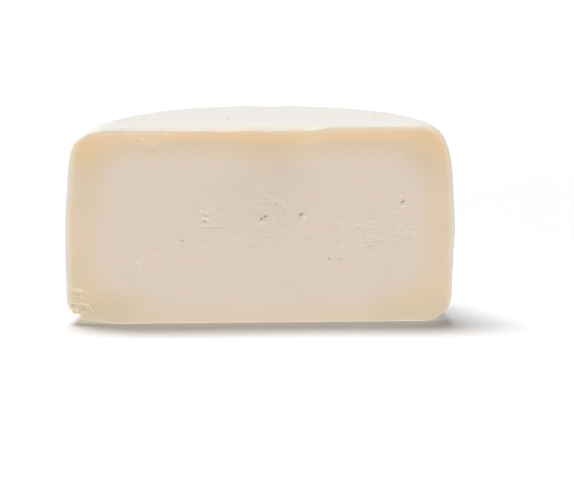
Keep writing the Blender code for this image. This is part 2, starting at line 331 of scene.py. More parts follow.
class WheelSettings(bpy.types.PropertyGroup):
    """Sizes of the whole wheel and of the finished surface."""

    radius: metres("Radius", "Radius of the whole wheel", 0.100)
    height: metres("Height", "Height of the wheel at its middle", 0.1018)
    top_slope: number("Top slope", "Rise of the top to the right, per metre", 0.0045)
    top_rim_width: metres("Top rim width", "How far the top's rounding reaches inwards", 0.0148)
    top_rim_drop: metres("Top rim drop", "How far the top's rounding reaches down", 0.040)
    base_rim_width: metres("Base rim width", "How far the base's rounding reaches inwards", 0.015)
    base_rim_rise: metres("Base rim rise", "How far the base's rounding reaches up", 0.014)
    sag: metres("Sag", "How far the left shoulder has sunk", 0.0067)
    hollow: metres("Hollow", "How far the left side is drawn in under its shoulder", 0.0011)
    bulge: metres("Bulge", "How far the right side swells beside the cut", 0.0008)
    cell: metres("Cell", "Size of the surface's first even mesh", 0.00036)
    triangles: IntProperty(
        name="Triangles", description="Most triangles in the finished surface", default=192000
    )
    rind_triangles: IntProperty(
        name="Rind triangles", description="About how many of them are left on the rind", default=78000
    )
    smooth_steps: IntProperty(
        name="Smoothing", description="Steps that soften the packed model's flat faces", default=170
    )
    ripple_height: metres("Ripples", "Height of the knife's ripples in the cut", 0.00016)
    dimple_height: metres("Dimples", "Height of the rind's small dimples", 0.000085)


class FinishSettings(bpy.types.PropertyGroup):
    """Colours and gloss of the paste and the rind."""

    paste: shade("Paste", "Colour inside the cheese", (0.817, 0.701, 0.585))
    side_rim: shade("Side rim", "Colour of the drier paste under the side's rind", (0.828, 0.676, 0.490))
    side_skin: shade("Side skin", "Colour just under the side's rind", (0.895, 0.787, 0.664))
    top_rim: shade("Top rim", "Colour of the drier paste under the top's rind", (0.893, 0.663, 0.408))
    top_skin: shade("Top skin", "Colour just under the top's rind", (0.880, 0.800, 0.620))
    under_rim: shade(
        "Under rim", "Colour where the top's rim fades into the paste", (0.800, 0.648, 0.457)
    )
    rind: shade("Rind", "Colour of the rind", (0.823, 0.800, 0.765))
    old_rind: shade("Rind marks", "Colour of the rind's creamier places", (0.800, 0.745, 0.640))
    # Laid on as painted shade deep in the eyes, in recesses and in the broken corner's creases, and as
    # darker places of the cut
    pit_and_shade: shade("Pits", "Colour deep in the eyes", (0.36, 0.30, 0.23))
    # The real colour of a pale band under the top's rind and of paler places, also laid on as painted
    # highlight on raised lips, ledges and ripple crests
    lip_and_highlight: shade("Lips", "Colour of raised lips and freshly broken ledges", (0.950, 0.860, 0.730))
    front_rind: shade(
        "Rind near the cut", "Colour of the fresher rind beside the cut", (0.862, 0.828, 0.770)
    )
    cut_lip: shade("Cut lip", "Colour of the rind's rim at the cut", (0.828, 0.766, 0.650))
    stain: shade("Stain", "Colour of the faint stain on the top", (0.800, 0.800, 0.540))
    rind_thickness: metres("Rind thickness", "Thickness of the pale rind", 0.0009)
    rim_width: metres("Rim width", "How far the darker rim reaches into the paste", 0.022)
    paste_roughness: number("Paste roughness", "Roughness of the cut", 0.50, subtype="FACTOR")
    rind_roughness: number("Rind roughness", "Roughness of the rind", 0.64, subtype="FACTOR")


class CrumbSettings(bpy.types.PropertyGroup):
    """Sizes and number of the crumbs on the broken corner."""

    count: IntProperty(name="Count", description="Crumbs that lie on the broken corner", default=30)
    smallest: metres("Smallest", "Radius of the smallest crumb", 0.00018)
    largest: metres("Largest", "Radius of the largest crumb", 0.00050)
    seed: IntProperty(name="Seed", description="Start of the random draw", default=7)


class StudioSettings(bpy.types.PropertyGroup):
    """Camera, floor and lights."""

    azimuth: number("Azimuth", "Camera's turn round the cheese", math.radians(-2.06), unit="ROTATION")
    elevation: number(
        "Elevation", "Camera's height above the horizon", math.radians(9.97), unit="ROTATION"
    )
    distance: metres("Distance", "From the camera to the cut", 1.5)
    lens: number("Lens", "Focal length in millimetres", 182.6)
    floor: shade("Floor", "Colour of the floor", (0.995, 0.990, 0.995))
    key: number("Key", "Strength of the high soft light", 3.09)
    front: number("Front", "Strength of the low front light", 1.12)
    horizon: number("Horizon", "Brightness near the horizon", 1.0)
    sky: number("Sky", "Brightness overhead", 0.06)
    ground: number("Ground", "Brightness from below", 1.0)


class Wire:
    """A number that varies over a surface. An expression on wires adds its Math nodes."""

    def __init__(self, nodes, socket):
        self.nodes = nodes
        self.socket = socket

    def apply(self, operation, first, second, clamp=False):
        """One Math node of two values."""
        settings = {"operation": operation, "use_clamp": clamp}
        return self.nodes.add("Math", settings, {"Value": first, "Value_001": second})["Value"]

    def __add__(self, other):
        return self.apply("ADD", self, other)

    def __radd__(self, other):
        return self.apply("ADD", other, self)

    def __sub__(self, other):
        return self.apply("SUBTRACT", self, other)

    def __rsub__(self, other):
        return self.apply("SUBTRACT", other, self)

    def __mul__(self, other):
        return self.apply("MULTIPLY", self, other)

    def __truediv__(self, other):
        return self.apply("DIVIDE", self, other)

    def squared(self):
        """The value times itself."""
        return self.apply("MULTIPLY", self, self)

    def clamped(self):
        """The value held between 0 and 1."""
        return self.apply("ADD", self, 0.0, clamp=True)

    def beyond(self, low):
        """How far the value lies above low, or 0."""
        return self.apply("MAXIMUM", self - low, 0.0)

    def step(self, low, high):
        """0 below low, 1 above high, and a soft turn between them."""
        settings = {"interpolation_type": "SMOOTHSTEP"}
        values = {"Value": self, "From Min": low, "From Max": high}
        return self.nodes.add("MapRange", settings, values)["Result"]

    def fall(self, low, high):
        """1 below low, 0 above high, and a soft turn between them."""
        return 1.0 - self.step(low, high)


class Outputs:
    """The outputs of one node, by name."""

    def __init__(self, nodes, node):
        self.nodes = nodes
        self.node = node

    def __getitem__(self, name):
        return Wire(self.nodes, find_socket(self.node.outputs, name))


def find_socket(sockets, name):
    """The socket with that identifier, or else with that name."""
    for socket in sockets:
        if socket.identifier == name:
            return socket
    return sockets[name]


class Nodes:
    """The nodes of one material or world, all added by one method."""

    def __init__(self, holder):
        holder.use_nodes = True
        self.tree = holder.node_tree
        self.tree.nodes.clear()

    def add(self, kind, settings=None, values=None):
        """Adds a node, applies its settings, then its sockets' values or links."""
        node = self.tree.nodes.new("ShaderNode" + kind)
        for name, value in (settings or {}).items():
            if name == "stops":
                self.set_stops(node.color_ramp, value)
            else:
                setattr(node, name, value)
        for name, value in (values or {}).items():
            socket = find_socket(node.inputs, name)
            if isinstance(value, Wire):
                self.tree.links.new(value.socket, socket)
            else:
                socket.default_value = value
        return Outputs(self, node)

    @staticmethod
    def set_stops(ramp, stops):
        """Puts the colours of a ramp at their places."""
        ramp.interpolation = "EASE"
        while len(ramp.elements) < len(stops):
            ramp.elements.new(0.5)
        for element, (position, colour) in zip(ramp.elements, stops):
            element.position = position
            element.color = (*colour, 1.0)

    def ramp(self, value, stops):
        """A colour that follows a value."""
        return self.add("ValToRGB", {"stops": stops}, {"Fac": value})["Color"]

    def attribute(self, name):
        """A number kept on the mesh's points."""
        return self.add("Attribute", {"attribute_name": name})["Fac"]

    def place(self):
        """The point in the object's own coordinates."""
        return self.add("TexCoord")["Object"]

    def stretched(self, place, scale):
        """The point with each coordinate scaled, so that a pattern stretches."""
        return self.add("Mapping", None, {"Vector": place, "Scale": scale})["Vector"]

    def clouds(self, place, size, detail=2.0, roughness=0.5):
        """Soft noise from 0 to 1 whose patches have about the given size in metres."""
        values = {"Vector": place, "Scale": 1.0 / size, "Detail": detail, "Roughness": roughness}
        return self.add("TexNoise", None, values)["Fac"]


class Paint:
    """A colour that is laid on in layers."""

    def __init__(self, nodes, colour):
        self.nodes = nodes
        self.colour = colour

    def layer(self, share, colour, blend_type):
        """Brings a colour in, as far as the share says."""
        settings = {"data_type": "RGBA", "blend_type": blend_type}
        values = {"Factor_Float": share, "A_Color": opaque(self.colour), "B_Color": opaque(colour)}
        self.colour = self.nodes.add("Mix", settings, values)["Result_Color"]

    def cover(self, share, colour):
        """Goes over to another colour."""
        self.layer(share, colour, "MIX")

    def tint(self, share, colour):
        """Multiplies the colour by another."""
        self.layer(share, colour, "MULTIPLY")


def opaque(colour):
    """A colour with its alpha, or a wire as it is."""
    return colour if isinstance(colour, Wire) else (*colour, 1.0)


def wheel_outline(wheel):
    """Points (radius, height) from the middle of the top, over the side, to the middle of the base."""
    points = [(0.0, wheel.height)]
    for i in range(RIM_STEPS + 1):
        turn = 0.5 * math.pi * i / RIM_STEPS
        out = wheel.top_rim_width * math.sin(turn) ** (2 / TOP_RIM_POWER)
        up = wheel.top_rim_drop * math.cos(turn) ** (2 / TOP_RIM_POWER)
        points.append((wheel.radius - wheel.top_rim_width + out, wheel.height - wheel.top_rim_drop + up))
    for i in range(RIM_STEPS + 1):
        turn = 0.5 * math.pi * i / RIM_STEPS
        out = wheel.base_rim_width * math.cos(turn) ** (2 / BASE_RIM_POWER)
        down = wheel.base_rim_rise * math.sin(turn) ** (2 / BASE_RIM_POWER)
        points.append((wheel.radius - wheel.base_rim_width + out, wheel.base_rim_rise - down))
    points.append((0.0, 0.0))
    return np.array(points)


def worn_depth(x):
    """How far the top front edge is worn down at x, in millimetres."""
    fall = np.clip((x - WORN_LEFT_X) / (WORN_FULL_X - WORN_LEFT_X), 0.0, 1.0) ** WORN_ONSET_POWER
    rise = np.clip((WORN_STEP_X - x) / (WORN_STEP_X - WORN_RIGHT_X), 0.0, 1.0)
    return WORN_DEPTH * fall * rise


def before_settling(points, wheel):
    """Radius and height of each point in the even wheel, before it sagged, hollowed and bulged."""
    x, y, z = points.T
    radius = np.maximum(np.hypot(x, y - CUT_Y), 1e-6)
    height = z - wheel.top_slope * x * z / wheel.height
    left = np.maximum(0.0, -x / radius) ** LEFT_POWER
    reach = np.clip((radius - SAG_INNER_RADIUS) / (wheel.radius - SAG_INNER_RADIUS), 0.0, 1.0)
    sunk = wheel.sag * left * reach**SAG_REACH_POWER / (wheel.height - SAG_FOOT)
    above = np.maximum(0.0, height - SAG_FOOT)
    height = height - above + above / (1.0 - np.minimum(sunk, 0.9))
    level = (height - HOLLOW_HEIGHT) / HOLLOW_HALF_HEIGHT
    hollow = wheel.hollow * left * np.exp(-level * level)
    level = (height - BULGE_HEIGHT) / BULGE_HALF_HEIGHT
    behind = (y - CUT_Y) / BULGE_REACH
    bulge = wheel.bulge * np.maximum(0.0, x / radius) * np.exp(-level * level - behind * behind)
    return radius * (1.0 + (hollow - bulge) / wheel.radius), height


def rind_depth(points, wheel):
    """How far each point lies under the even wheel's outline, in millimetres."""
    radius, height = before_settling(points, wheel)
    nearest = np.full(len(points), np.inf)
    outline = wheel_outline(wheel)
    for start, end in zip(outline, outline[1:]):
        along = end - start
        length = along @ along
        if length == 0.0:
            continue
        share = ((radius - start[0]) * along[0] + (height - start[1]) * along[1]) / length
        share = np.clip(share, 0.0, 1.0)
        gap = np.hypot(radius - start[0] - share * along[0], height - start[1] - share * along[1])
        nearest = np.minimum(nearest, gap)
    depth = nearest / MM
    near_edge = smooth_step(0.085, 0.097, points[:, 2])
    near_edge *= 1.0 - smooth_step(0.005, 0.009, points[:, 1] - CUT_Y)
    x, behind = points[:, 0] / MM, (points[:, 1] - CUT_Y) / MM
    # The right half of the worn edge keeps more of its rind
    shift = -0.35 * smooth_step(-5.0, 8.0, x)
    outside = smooth_step(0.5, 3.0, behind) * (1.0 - near_edge) * (1.0 - chip_share(points))
    return np.maximum(0.0, depth + shift * near_edge * worn_depth(x) - OUTER_DIP * outside)


def vertex_array(mesh, name):
    """A vector of each vertex, as an array."""
    values = np.empty(3 * len(mesh.vertices), np.float32)
    mesh.vertices.foreach_get(name, values)
    return values.reshape(-1, 3).astype(float)


def put_points(mesh, points):
    """Moves the vertices to the given points."""
    mesh.vertices.foreach_set("co", points.astype(np.float32).ravel())
    mesh.update()


def edge_ends(mesh):
    """The two vertices of each edge."""
    ends = np.empty(2 * len(mesh.edges), np.int32)
    mesh.edges.foreach_get("vertices", ends)
    return ends.reshape(-1, 2)


def neighbour_mean(values, ends):
    """The mean of each vertex's neighbours."""
    first, second = ends.T
    count = len(values)
    total = np.bincount(first, values[second], count) + np.bincount(second, values[first], count)
    degree = np.bincount(first, None, count) + np.bincount(second, None, count)
    return total / np.maximum(degree, 1)


def crisp_share(mesh):
    """1 beside each sharp turn of the surface, fading out over a few rings of vertices."""
    normals = vertex_array(mesh, "normal")
    ends = edge_ends(mesh)
    first, second = ends.T
    turns = np.einsum("ij,ij->i", normals[first], normals[second]) < math.cos(math.radians(SHARP_TURN))
    share = np.zeros(len(normals))
    share[first[turns]] = 1.0
    share[second[turns]] = 1.0
    for _ in range(CRISP_RINGS):
        share = np.where(neighbour_mean(share, ends) > 0.0, 1.0, share)
    for _ in range(CRISP_FADE_RINGS):
        share = 0.5 * (share + neighbour_mean(share, ends))
    return share


def link_object(name, data):
    """A new object that holds the mesh, light or camera."""
    item = bpy.data.objects.new(name, data)
    bpy.context.scene.collection.objects.link(item)
    return item


def end_mesh(bm, name):
    """A new mesh with what was built."""
    mesh = bpy.data.meshes.new(name)
    bm.to_mesh(mesh)
    bm.free()
    return mesh


def keep_modifiers_result(piece):
    """Gives the piece the mesh that its modifiers make, and takes them off."""
    seen = piece.evaluated_get(bpy.context.evaluated_depsgraph_get())
    mesh = bpy.data.meshes.new_from_object(seen)
    piece.modifiers.clear()
    old = piece.data
    piece.data = mesh
    bpy.data.meshes.remove(old)


def packed_wheel_mesh():
    """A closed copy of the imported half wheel."""
    bm = bmesh.new()
    bm.from_mesh(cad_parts["half_wheel"].data)
    bmesh.ops.remove_doubles(bm, verts=bm.verts[:], dist=1e-6)
    mesh = end_mesh(bm, "half_wheel_surface")
    mesh.materials.clear()
    return mesh


def remesh_evenly(piece, cell):
    """Covers the piece with an even mesh of small faces."""
    remesh = piece.modifiers.new("Even mesh", "REMESH")
    remesh.mode = "VOXEL"
    remesh.voxel_size = cell
    keep_modifiers_result(piece)


def soften_facets(piece, steps):
    """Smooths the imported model's flat faces and leaves its eyes, chips and edges crisp."""
    share = np.round(SOFTNESS_LEVELS * (1.0 - crisp_share(piece.data)))
    group = piece.vertex_groups.new(name="soft")
    for level in range(1, SOFTNESS_LEVELS + 1):
        group.add(np.flatnonzero(share == level).tolist(), level / SOFTNESS_LEVELS, "REPLACE")
    smooth = piece.modifiers.new("Soft facets", "SMOOTH")
    smooth.vertex_group = group.name
    smooth.factor = 0.5
    smooth.iterations = steps
    keep_modifiers_result(piece)
    piece.vertex_groups.clear()


def mark_depth(across, up, half_length, half_height, tilt=0):
    """Share of a mark's depth at a place beside its middle."""
    turn = math.radians(tilt)
    along = (across * math.cos(turn) + up * math.sin(turn)) / half_length
    over = (up * math.cos(turn) - across * math.sin(turn)) / half_height
    return np.exp(-np.minimum((along * along + over * over) ** 1.5, 50.0))


def ripple_strength(x, z):
    """How strongly the knife rippled the cut at each place."""
    strength = np.full(len(x), RIPPLE_LEAST)
    for middle_x, middle_z, reach_x, reach_z, patch in RIPPLE_PATCHES:
        gap = ((x - middle_x) / reach_x) ** 2 + ((z - middle_z) / reach_z) ** 2
        strength += patch * np.exp(-gap)
    return strength


def ripple_height(x, z):
    """Height of the knife's ripples at each place of the cut, in shares of the full height."""
    heights = np.empty(len(x))
    for i, (across, up) in enumerate(zip(x, z)):
        wander = 0.8 * noise.noise((across / 14.0, up / 14.0, 5.0))
        long_wave = noise.noise((across / 5.0, up / 1.20 + wander, 9.0))
        short_wave = noise.noise((across / 2.8, up / 1.00 + wander, 31.0))
        heights[i] = long_wave + 0.60 * short_wave
    return ripple_strength(x, z) * heights


def tone_at(x, z, table):
    """Sum of the table's tones at each place of the cut."""
    tone = np.zeros(len(x))
    for middle_x, middle_z, *shape, amount in table:
        tone += amount * mark_depth(x - middle_x, z - middle_z, *shape)
    return tone


def beside_marks(points):
    """Whether each point is in or beside a small mark of the cut, where the mesh stays fine."""
    x, z = points[:, 0] / MM, points[:, 2] / MM
    near = np.zeros(len(points), bool)
    for middle_x, middle_z, half_length, half_height, tilt, _ in CUT_MARKS + CUT_TONES_AND_PAINTED_LIGHT:
        size = half_length + FINE_MARGIN, half_height + FINE_MARGIN
        near |= mark_depth(x - middle_x, z - middle_z, *size, tilt) > 0.08
    return near & (points[:, 1] < CUT_Y + FINE_BEHIND * MM)


def cut_relief(points, wheel):
    """How far each point of the cut moves back, in metres."""
    x, z = points[:, 0] / MM, points[:, 2] / MM
    back = -wheel.ripple_height * ripple_height(x, z)
    for middle_x, middle_z, *shape, depth in CUT_MARKS:
        back += depth * MM * mark_depth(x - middle_x, z - middle_z, *shape)
    return back


def rind_relief(points, wheel):
    """How far each point of the rind moves outwards, in metres."""
    heights = np.empty(len(points))
    for i, point in enumerate((points / MM).tolist()):
        spot = Vector(point)
        broad = noise.noise(spot / 4.2)
        small = noise.noise(spot / 1.5 + Vector((40.0, 0.0, 0.0)))
        hollow = max(0.0, noise.noise(spot / 2.6 + Vector((0.0, 70.0, 0.0))) - 0.32)
        heights[i] = broad + 0.35 * small - 3.0 * hollow
    return wheel.dimple_height * heights


def add_relief(piece, wheel):
    """Presses ripples and marks into the cut, and dimples into the rind."""
    mesh = piece.data
    points = vertex_array(mesh, "co")
    normals = vertex_array(mesh, "normal")
    depth = rind_depth(points, wheel)
    ends = edge_ends(mesh)

    in_cut = (np.abs(points[:, 1] - CUT_Y) < CUT_REACH * MM) & (normals[:, 1] < LOOKS_FRONT)
    edge_fade = smooth_step(0.2, 1.6, depth)
    chosen = np.flatnonzero(in_cut)
    points[chosen, 1] += edge_fade[chosen] * cut_relief(points[chosen], wheel)

    on_base = (points[:, 2] < BASE_REACH * MM) & (normals[:, 2] < LOOKS_DOWN)
    on_rind = (depth < RIND_REACH) & ~in_cut & ~on_base
    share = on_rind.astype(float)
    for _ in range(3):
        share = np.minimum(share, neighbour_mean(share, ends))
    chosen = np.flatnonzero(share > 0.0)
    lift = share[chosen] * rind_relief(points[chosen], wheel)
    points[chosen] += lift[:, None] * normals[chosen]

    on_top = normals[:, 2] > LOOKS_UP
    x, back = points[:, 0] / MM, (points[:, 1] - CUT_Y) / MM
    for middle_x, middle_back, *shape, mark in TOP_MARKS:
        dent = mark * MM * mark_depth(x - middle_x, back - middle_back, *shape)
        points[on_top, 2] -= dent[on_top]

    points[on_base, 2] = 0.0
    points[:, 2] = np.maximum(points[:, 2], 0.0)
    put_points(mesh, points)


def thin_out(piece, most, chosen):
    """Joins the least needed faces round the chosen points, down to the most triangles allowed."""
    mesh = piece.data
    mesh.calc_loop_triangles()
    group = piece.vertex_groups.new(name="thin")
    group.add(np.flatnonzero(chosen).tolist(), 1.0, "REPLACE")
    thin = piece.modifiers.new("Fewer faces", "DECIMATE")
    thin.ratio = min(1.0, most / len(mesh.loop_triangles))
    thin.vertex_group = group.name
    thin.use_collapse_triangulate = True
    keep_modifiers_result(piece)
    piece.vertex_groups.clear()


def thin_rind_then_cut(piece, wheel):
    """Thins the rind first, so that the cut keeps its fine relief, and then all but the small marks."""
    points = vertex_array(piece.data, "co")
    behind = points[:, 1] > CUT_Y + FINE_BEHIND * MM
    thin_out(piece, 2 * np.count_nonzero(~behind) + wheel.rind_triangles, behind)
    points = vertex_array(piece.data, "co")
    thin_out(piece, wheel.triangles, ~beside_marks(points))


def store_values(mesh, name, values):
    """Keeps a number on each point, for the material."""
    attribute = mesh.attributes.new(name, "FLOAT", "POINT")
    attribute.data.foreach_set("value", values.astype(np.float32))


def cut_painted_light_and_tone(points, depth):
    """The cut's tones, mostly painted light: 1 for the darkest painted shade in pits, down to -1 for the
    lightest painted highlights on lips.
    """
    x, z = points[:, 0] / MM, points[:, 2] / MM
    behind = (points[:, 1] - CUT_Y) / MM
    front = 1.0 - smooth_step(2.5, 4.0, behind)
    tone = front * tone_at(x, z, CUT_TONES_AND_PAINTED_LIGHT) + front * tone_at(x, z, CUT_SHADES)
    # Painted shade in recesses just behind the cut, below the worn edge and away from the broken corner
    recess_shade = smooth_step(0.35, 1.6, behind) * front * smooth_step(1.0, 2.2, depth)
    below_worn_edge = 1.0 - smooth_step(93.0, 95.0, z)
    return np.clip(tone + 0.16 * recess_shade * below_worn_edge * (1.0 - chip_share(points)), -1.0, 1.0)


def chip_share(points):
    """1 at the broken corner, 0 away from it."""
    right = 1.0 - smooth_step(-86.0 * MM, -83.0 * MM, points[:, 0])
    low = 1.0 - smooth_step(17.0 * MM, 21.0 * MM, points[:, 2])
    front = 1.0 - smooth_step(8.0 * MM, 12.0 * MM, points[:, 1] - CUT_Y)
    return right * low * front


class CheeseField:
    """Wires that the cheese's colours share: place and depth in millimetres, noise and regions."""

    def __init__(self, nodes, finish):
        place = nodes.place()
        axes = nodes.add("SeparateXYZ", None, {"Vector": place})
        self.x, y, self.z = axes["X"] / MM, axes["Y"] / MM, axes["Z"] / MM
        self.behind = y - CUT_Y / MM
        self.broad = nodes.clouds(place, 0.024, 1.0)
        self.middling = nodes.clouds(place, 0.007, 2.0)
        self.fine = nodes.clouds(place, 0.0016, 3.0)
        self.grain = nodes.clouds(place, 0.0007, 3.0, 0.6)
        self.crumbly = nodes.clouds(place, 0.0022, 3.0, 0.7)
        self.creamy = nodes.clouds(place, 0.013, 3.0, 0.6)
        self.bands = nodes.clouds(nodes.stretched(place, (0.5, 1.6, 1.0)), 0.018, 1.0)
        self.pores = nodes.clouds(place, 0.0011, 2.0).step(0.62, 0.78)
        self.depth = nodes.attribute("rind_depth")
        self.broken = nodes.attribute("broken")

        streaks = nodes.clouds(nodes.stretched(place, (0.32, 1.0, 1.0)), 0.0016, 0.0) - 0.5
        scales = nodes.clouds(nodes.stretched(place, (0.45, 1.0, 1.0)), 0.0013, 0.0) - 0.5
        self.rippled = (streaks + scales * 1.4) * (nodes.attribute("ripple") * self.depth.step(1.5, 4.0))

        far_out = self.x.squared().step(4600.0, 7200.0)
        self.top_corner = far_out * self.z.step(68.0, 93.0)
        self.base_corner = far_out * self.z.fall(8.0, 34.0)
        self.mid_base = (self.x + (self.broad - 0.5) * 20.0).squared().fall(2100.0, 5200.0)
        self.uneven = self.uneven_depth()
        thick = finish.rind_thickness / MM
        self.on_rind = self.uneven.fall(0.35 * thick, 1.1 * thick)

    def uneven_depth(self):
        """Depth under the rind with uneven lines, and a rim that is thinner or wider in some places."""
        x, z, depth = self.x, self.z, self.depth
        under_rind = depth.step(0.15, 0.60)
        waves = (self.broad - 0.5) * 6.0 + (self.middling - 0.5) * 2.4
        uneven = depth + depth.step(1.2, 6.0) * waves + (self.fine - 0.5) * 0.3
        uneven = uneven + z.fall(3.0, 11.0) * under_rind * 4.0
        uneven = uneven + z.fall(12.0, 28.0) * under_rind * self.mid_base * 8.0
        uneven = uneven + x.step(42.0, 80.0) * depth.step(0.35, 0.90) * 0.5
        return uneven - uneven.beyond(4.0) * (self.top_corner * 0.70 + self.base_corner * 0.45)

    def relief(self):
        """Height of the finest relief: grain, ripples and broken paste in the cut, pores in the rind."""
        paste = self.grain * 0.022 + self.rippled * 0.30 + self.crumbly * self.broken * 0.25
        rind = self.grain * 0.022 + self.pores * -0.035 + (self.fine - 0.5) * 0.06
        return paste + self.on_rind * (rind - paste)


def paint_by_depth(nodes, field, finish):
    """Paint that goes with the depth, through the side's rim or the top's, to the paste."""
    thick, wide = finish.rind_thickness / MM, finish.rim_width / MM
    side_rows = (
        (0.35 * thick, finish.rind),
        (thick, finish.side_skin),
        (2.0 * thick, blend(finish.side_skin, finish.side_rim, 0.30)),
        (4.2, finish.side_rim),
        (8.5, finish.side_rim),
        (wide, finish.paste),
    )
    top_rows = (
        (0.15 * thick, finish.rind),
        (0.5 * thick, finish.top_skin),
        (2.0 * thick, blend(finish.lip_and_highlight, finish.top_rim, 0.60)),
        (3.9, finish.top_rim),
        (5.4, finish.top_rim),
        (9.2, finish.under_rim),
        (14.0, blend(finish.under_rim, finish.paste, 0.40)),
        (0.85 * wide, finish.paste),
    )
    span = 1.25 * wide
    share = (field.uneven / span).clamped()
    side, top = (
        nodes.ramp(share, [(depth / span, colour) for depth, colour in rows])
        for rows in (side_rows, top_rows)
    )
    paint = Paint(nodes, side)
    paint.cover((field.z + (field.broad - 0.5) * 12.0).step(74.0, 92.0), top)
    return paint


def shade_cut(paint, field, finish):
    """Darker and duller at the base as painted shade, richer in the corners, a warmer and a drier place,
    patches and fine grain.
    """
    x, z, depth, middling = field.x, field.z, field.depth, field.middling
    # Painted shade: darker and duller low on the cut, less so under the middle of the base
    paint.tint(z.fall(-2.0, 19.0) * (1.0 - field.mid_base), LOW_SHADE_TINT)
    within = depth.step(4.0, 8.0) * depth.fall(14.0, 25.0)
    top_corner = field.top_corner * within
    paint.cover(top_corner * (0.36 - x.step(-60.0, 60.0) * 0.12), finish.top_rim)
    paint.tint(top_corner * x.step(0.0, 60.0), RIGHT_CORNER_TINT)
    paint.tint(field.base_corner * within, BASE_CORNER_TINT)
    paint.tint(spot(x, z, WARM_OVAL, (middling - 0.5) * 0.8), WARM_TINT)
    paint.tint(spot(x, z, DRIER_OVAL, (middling - 0.5) * 0.8), DRIER_TINT)
    in_paste = field.uneven.step(7.0, 17.0)
    paint.tint(in_paste * field.broad.step(0.35, 0.75) * 0.5, BROAD_PATCH_TINT)
    paint.tint(in_paste * middling.fall(0.35, 0.62) * 0.5, SMALL_PATCH_TINT)
    paint.tint(field.fine.fall(0.30, 0.55) * 0.4, GRAIN_TINT)


def shade_rind(paint, field, finish):
    """Lighter near the cut, darker on the worn slope of the front edge, a painted highlight right along
    that edge, faint bands, creamy places and pores.
    """
    x, z, behind, on_rind = field.x, field.z, field.behind, field.on_rind
    on_top = on_rind * z.step(92.0, 98.0)
    paint.cover(on_top * behind.fall(8.0, 34.0), finish.front_rind)
    paint.cover(on_top * behind.fall(3.0, 8.0) * 0.8, finish.cut_lip)
    worn = behind.fall(0.8, 3.2) * z.step(99.7, 100.5)
    paint.tint(worn * x.step(-90.0, -70.0) * x.fall(-4.0, 32.0), WORN_TINT)
    # Painted highlight along the top's front edge, right behind the cut
    paint.tint(on_top * behind.fall(0.2, 0.7), EDGE_HIGHLIGHT_TINT)
    paint.tint(on_top * field.bands.step(0.42, 0.62) * 0.6, BAND_TINT)
    paint.cover(on_rind * field.creamy.step(0.50, 0.78) * 0.40, finish.old_rind)
    paint.tint(on_rind * field.pores * 0.6, PORE_TINT)


def mark_top(paint, field, finish):
    """The faint stain on the top with its darker middle, and a small dull speck."""
    x, behind = field.x, field.behind
    level = field.z.step(90.0, 99.0)
    stained = spot(x, behind, STAIN_OVAL, (field.middling - 0.5) * 1.6)
    paint.cover(stained * level * 0.50, finish.stain)
    darkest = spot(x, behind, STAIN_MIDDLE, (field.fine - 0.5) * 2.0)
    paint.tint(darkest * level, STAIN_TINT)
    paint.tint(spot(x, behind, SPECK_OVAL, 0.0) * level, SPECK_TINT)


def cheese_finish(name, finish):
    """Rind, rim and paste as one solid colour field, with stain and fine grain, painted shade in the eyes,
    recesses and ripple hollows, and painted highlights on lips, ledges and ripple crests.
    """
    material = bpy.data.materials.new(name)
    nodes = Nodes(material)
    field = CheeseField(nodes, finish)
    paint = paint_by_depth(nodes, field, finish)
    shade_cut(paint, field, finish)
    shade_rind(paint, field, finish)
    # Painted shade in the knife ripples' hollows and painted highlight on their crests
    paint.tint((field.rippled * -3.0).clamped() * 0.8, RIPPLE_HOLLOW_SHADE)
    paint.cover((field.rippled * 1.2).clamped() * 0.6, finish.lip_and_highlight)
    mark_top(paint, field, finish)
    # Painted highlights on raised lips and ledges and painted shade in the eyes, recesses and hollows, with
    # the cut's broad darker and lighter places
    tone = nodes.attribute("tone")
    paint.cover((tone * -1.0).clamped(), finish.lip_and_highlight)
    paint.cover(tone.clamped(), finish.pit_and_shade)
    paint.tint(field.broken * field.crumbly.step(0.45, 0.70) * 0.3, CRUMBLE_TINT)
    rough = finish.paste_roughness + field.on_rind * (finish.rind_roughness - finish.paste_roughness)
    rough = rough + (field.middling - 0.5) * 0.08
    end_in_paste(paint, rough, field.relief(), CHEESE_GLOW)
    return material


def end_in_paste(paint, rough, height, glow):
    """Ends the nodes in soft paste that light enters as deep as the glow, in metres."""
    nodes = paint.nodes
    bump = nodes.add("Bump", None, {"Strength": 1.0, "Distance": MM, "Height": height})["Normal"]
    shader = nodes.add("BsdfPrincipled", None, {
        "Base Color": paint.colour,
        "Roughness": rough,
        "Normal": bump,
        "IOR": 1.42,
        "Specular IOR Level": 0.35,
        "Subsurface Weight": 0.25,
        "Subsurface Radius": (1.0, 0.55, 0.30),
        "Subsurface Scale": glow,
    })["BSDF"]
    nodes.add("OutputMaterial", None, {"Surface": shader})


def spot(across, along, oval, wobble):
    """1 in the middle of an oval whose edge the wobble makes uneven, 0 outside it."""
    middle_across, middle_along, half_across, half_along = oval
    across = (across - middle_across) / half_across
    along = (along - middle_along) / half_along
    return 1.0 - (across.squared() + along.squared() + wobble).step(0.15, 1.15)


def blend(first, second, share):
    """A colour between two."""
    return tuple(a + (b - a) * share for a, b in zip(first, second))


def crumb_finish(name, finish):
    """Dry broken paste, lighter on its raised grains."""
    material = bpy.data.materials.new(name)
    nodes = Nodes(material)
    place = nodes.place()
    grain = nodes.clouds(place, 0.0006, 3.0, 0.6)
    patches = nodes.clouds(place, 0.0021, 1.0)
    paint = Paint(nodes, finish.side_rim)
    paint.cover(patches.step(0.35, 0.65), finish.side_skin)
    paint.tint(grain.fall(0.35, 0.60) * 0.7, CRUMB_TINT)
    rough = finish.paste_roughness + (patches - 0.5) * 0.15 + 0.08
    end_in_paste(paint, rough, grain * 0.12, CRUMB_GLOW)
    return material


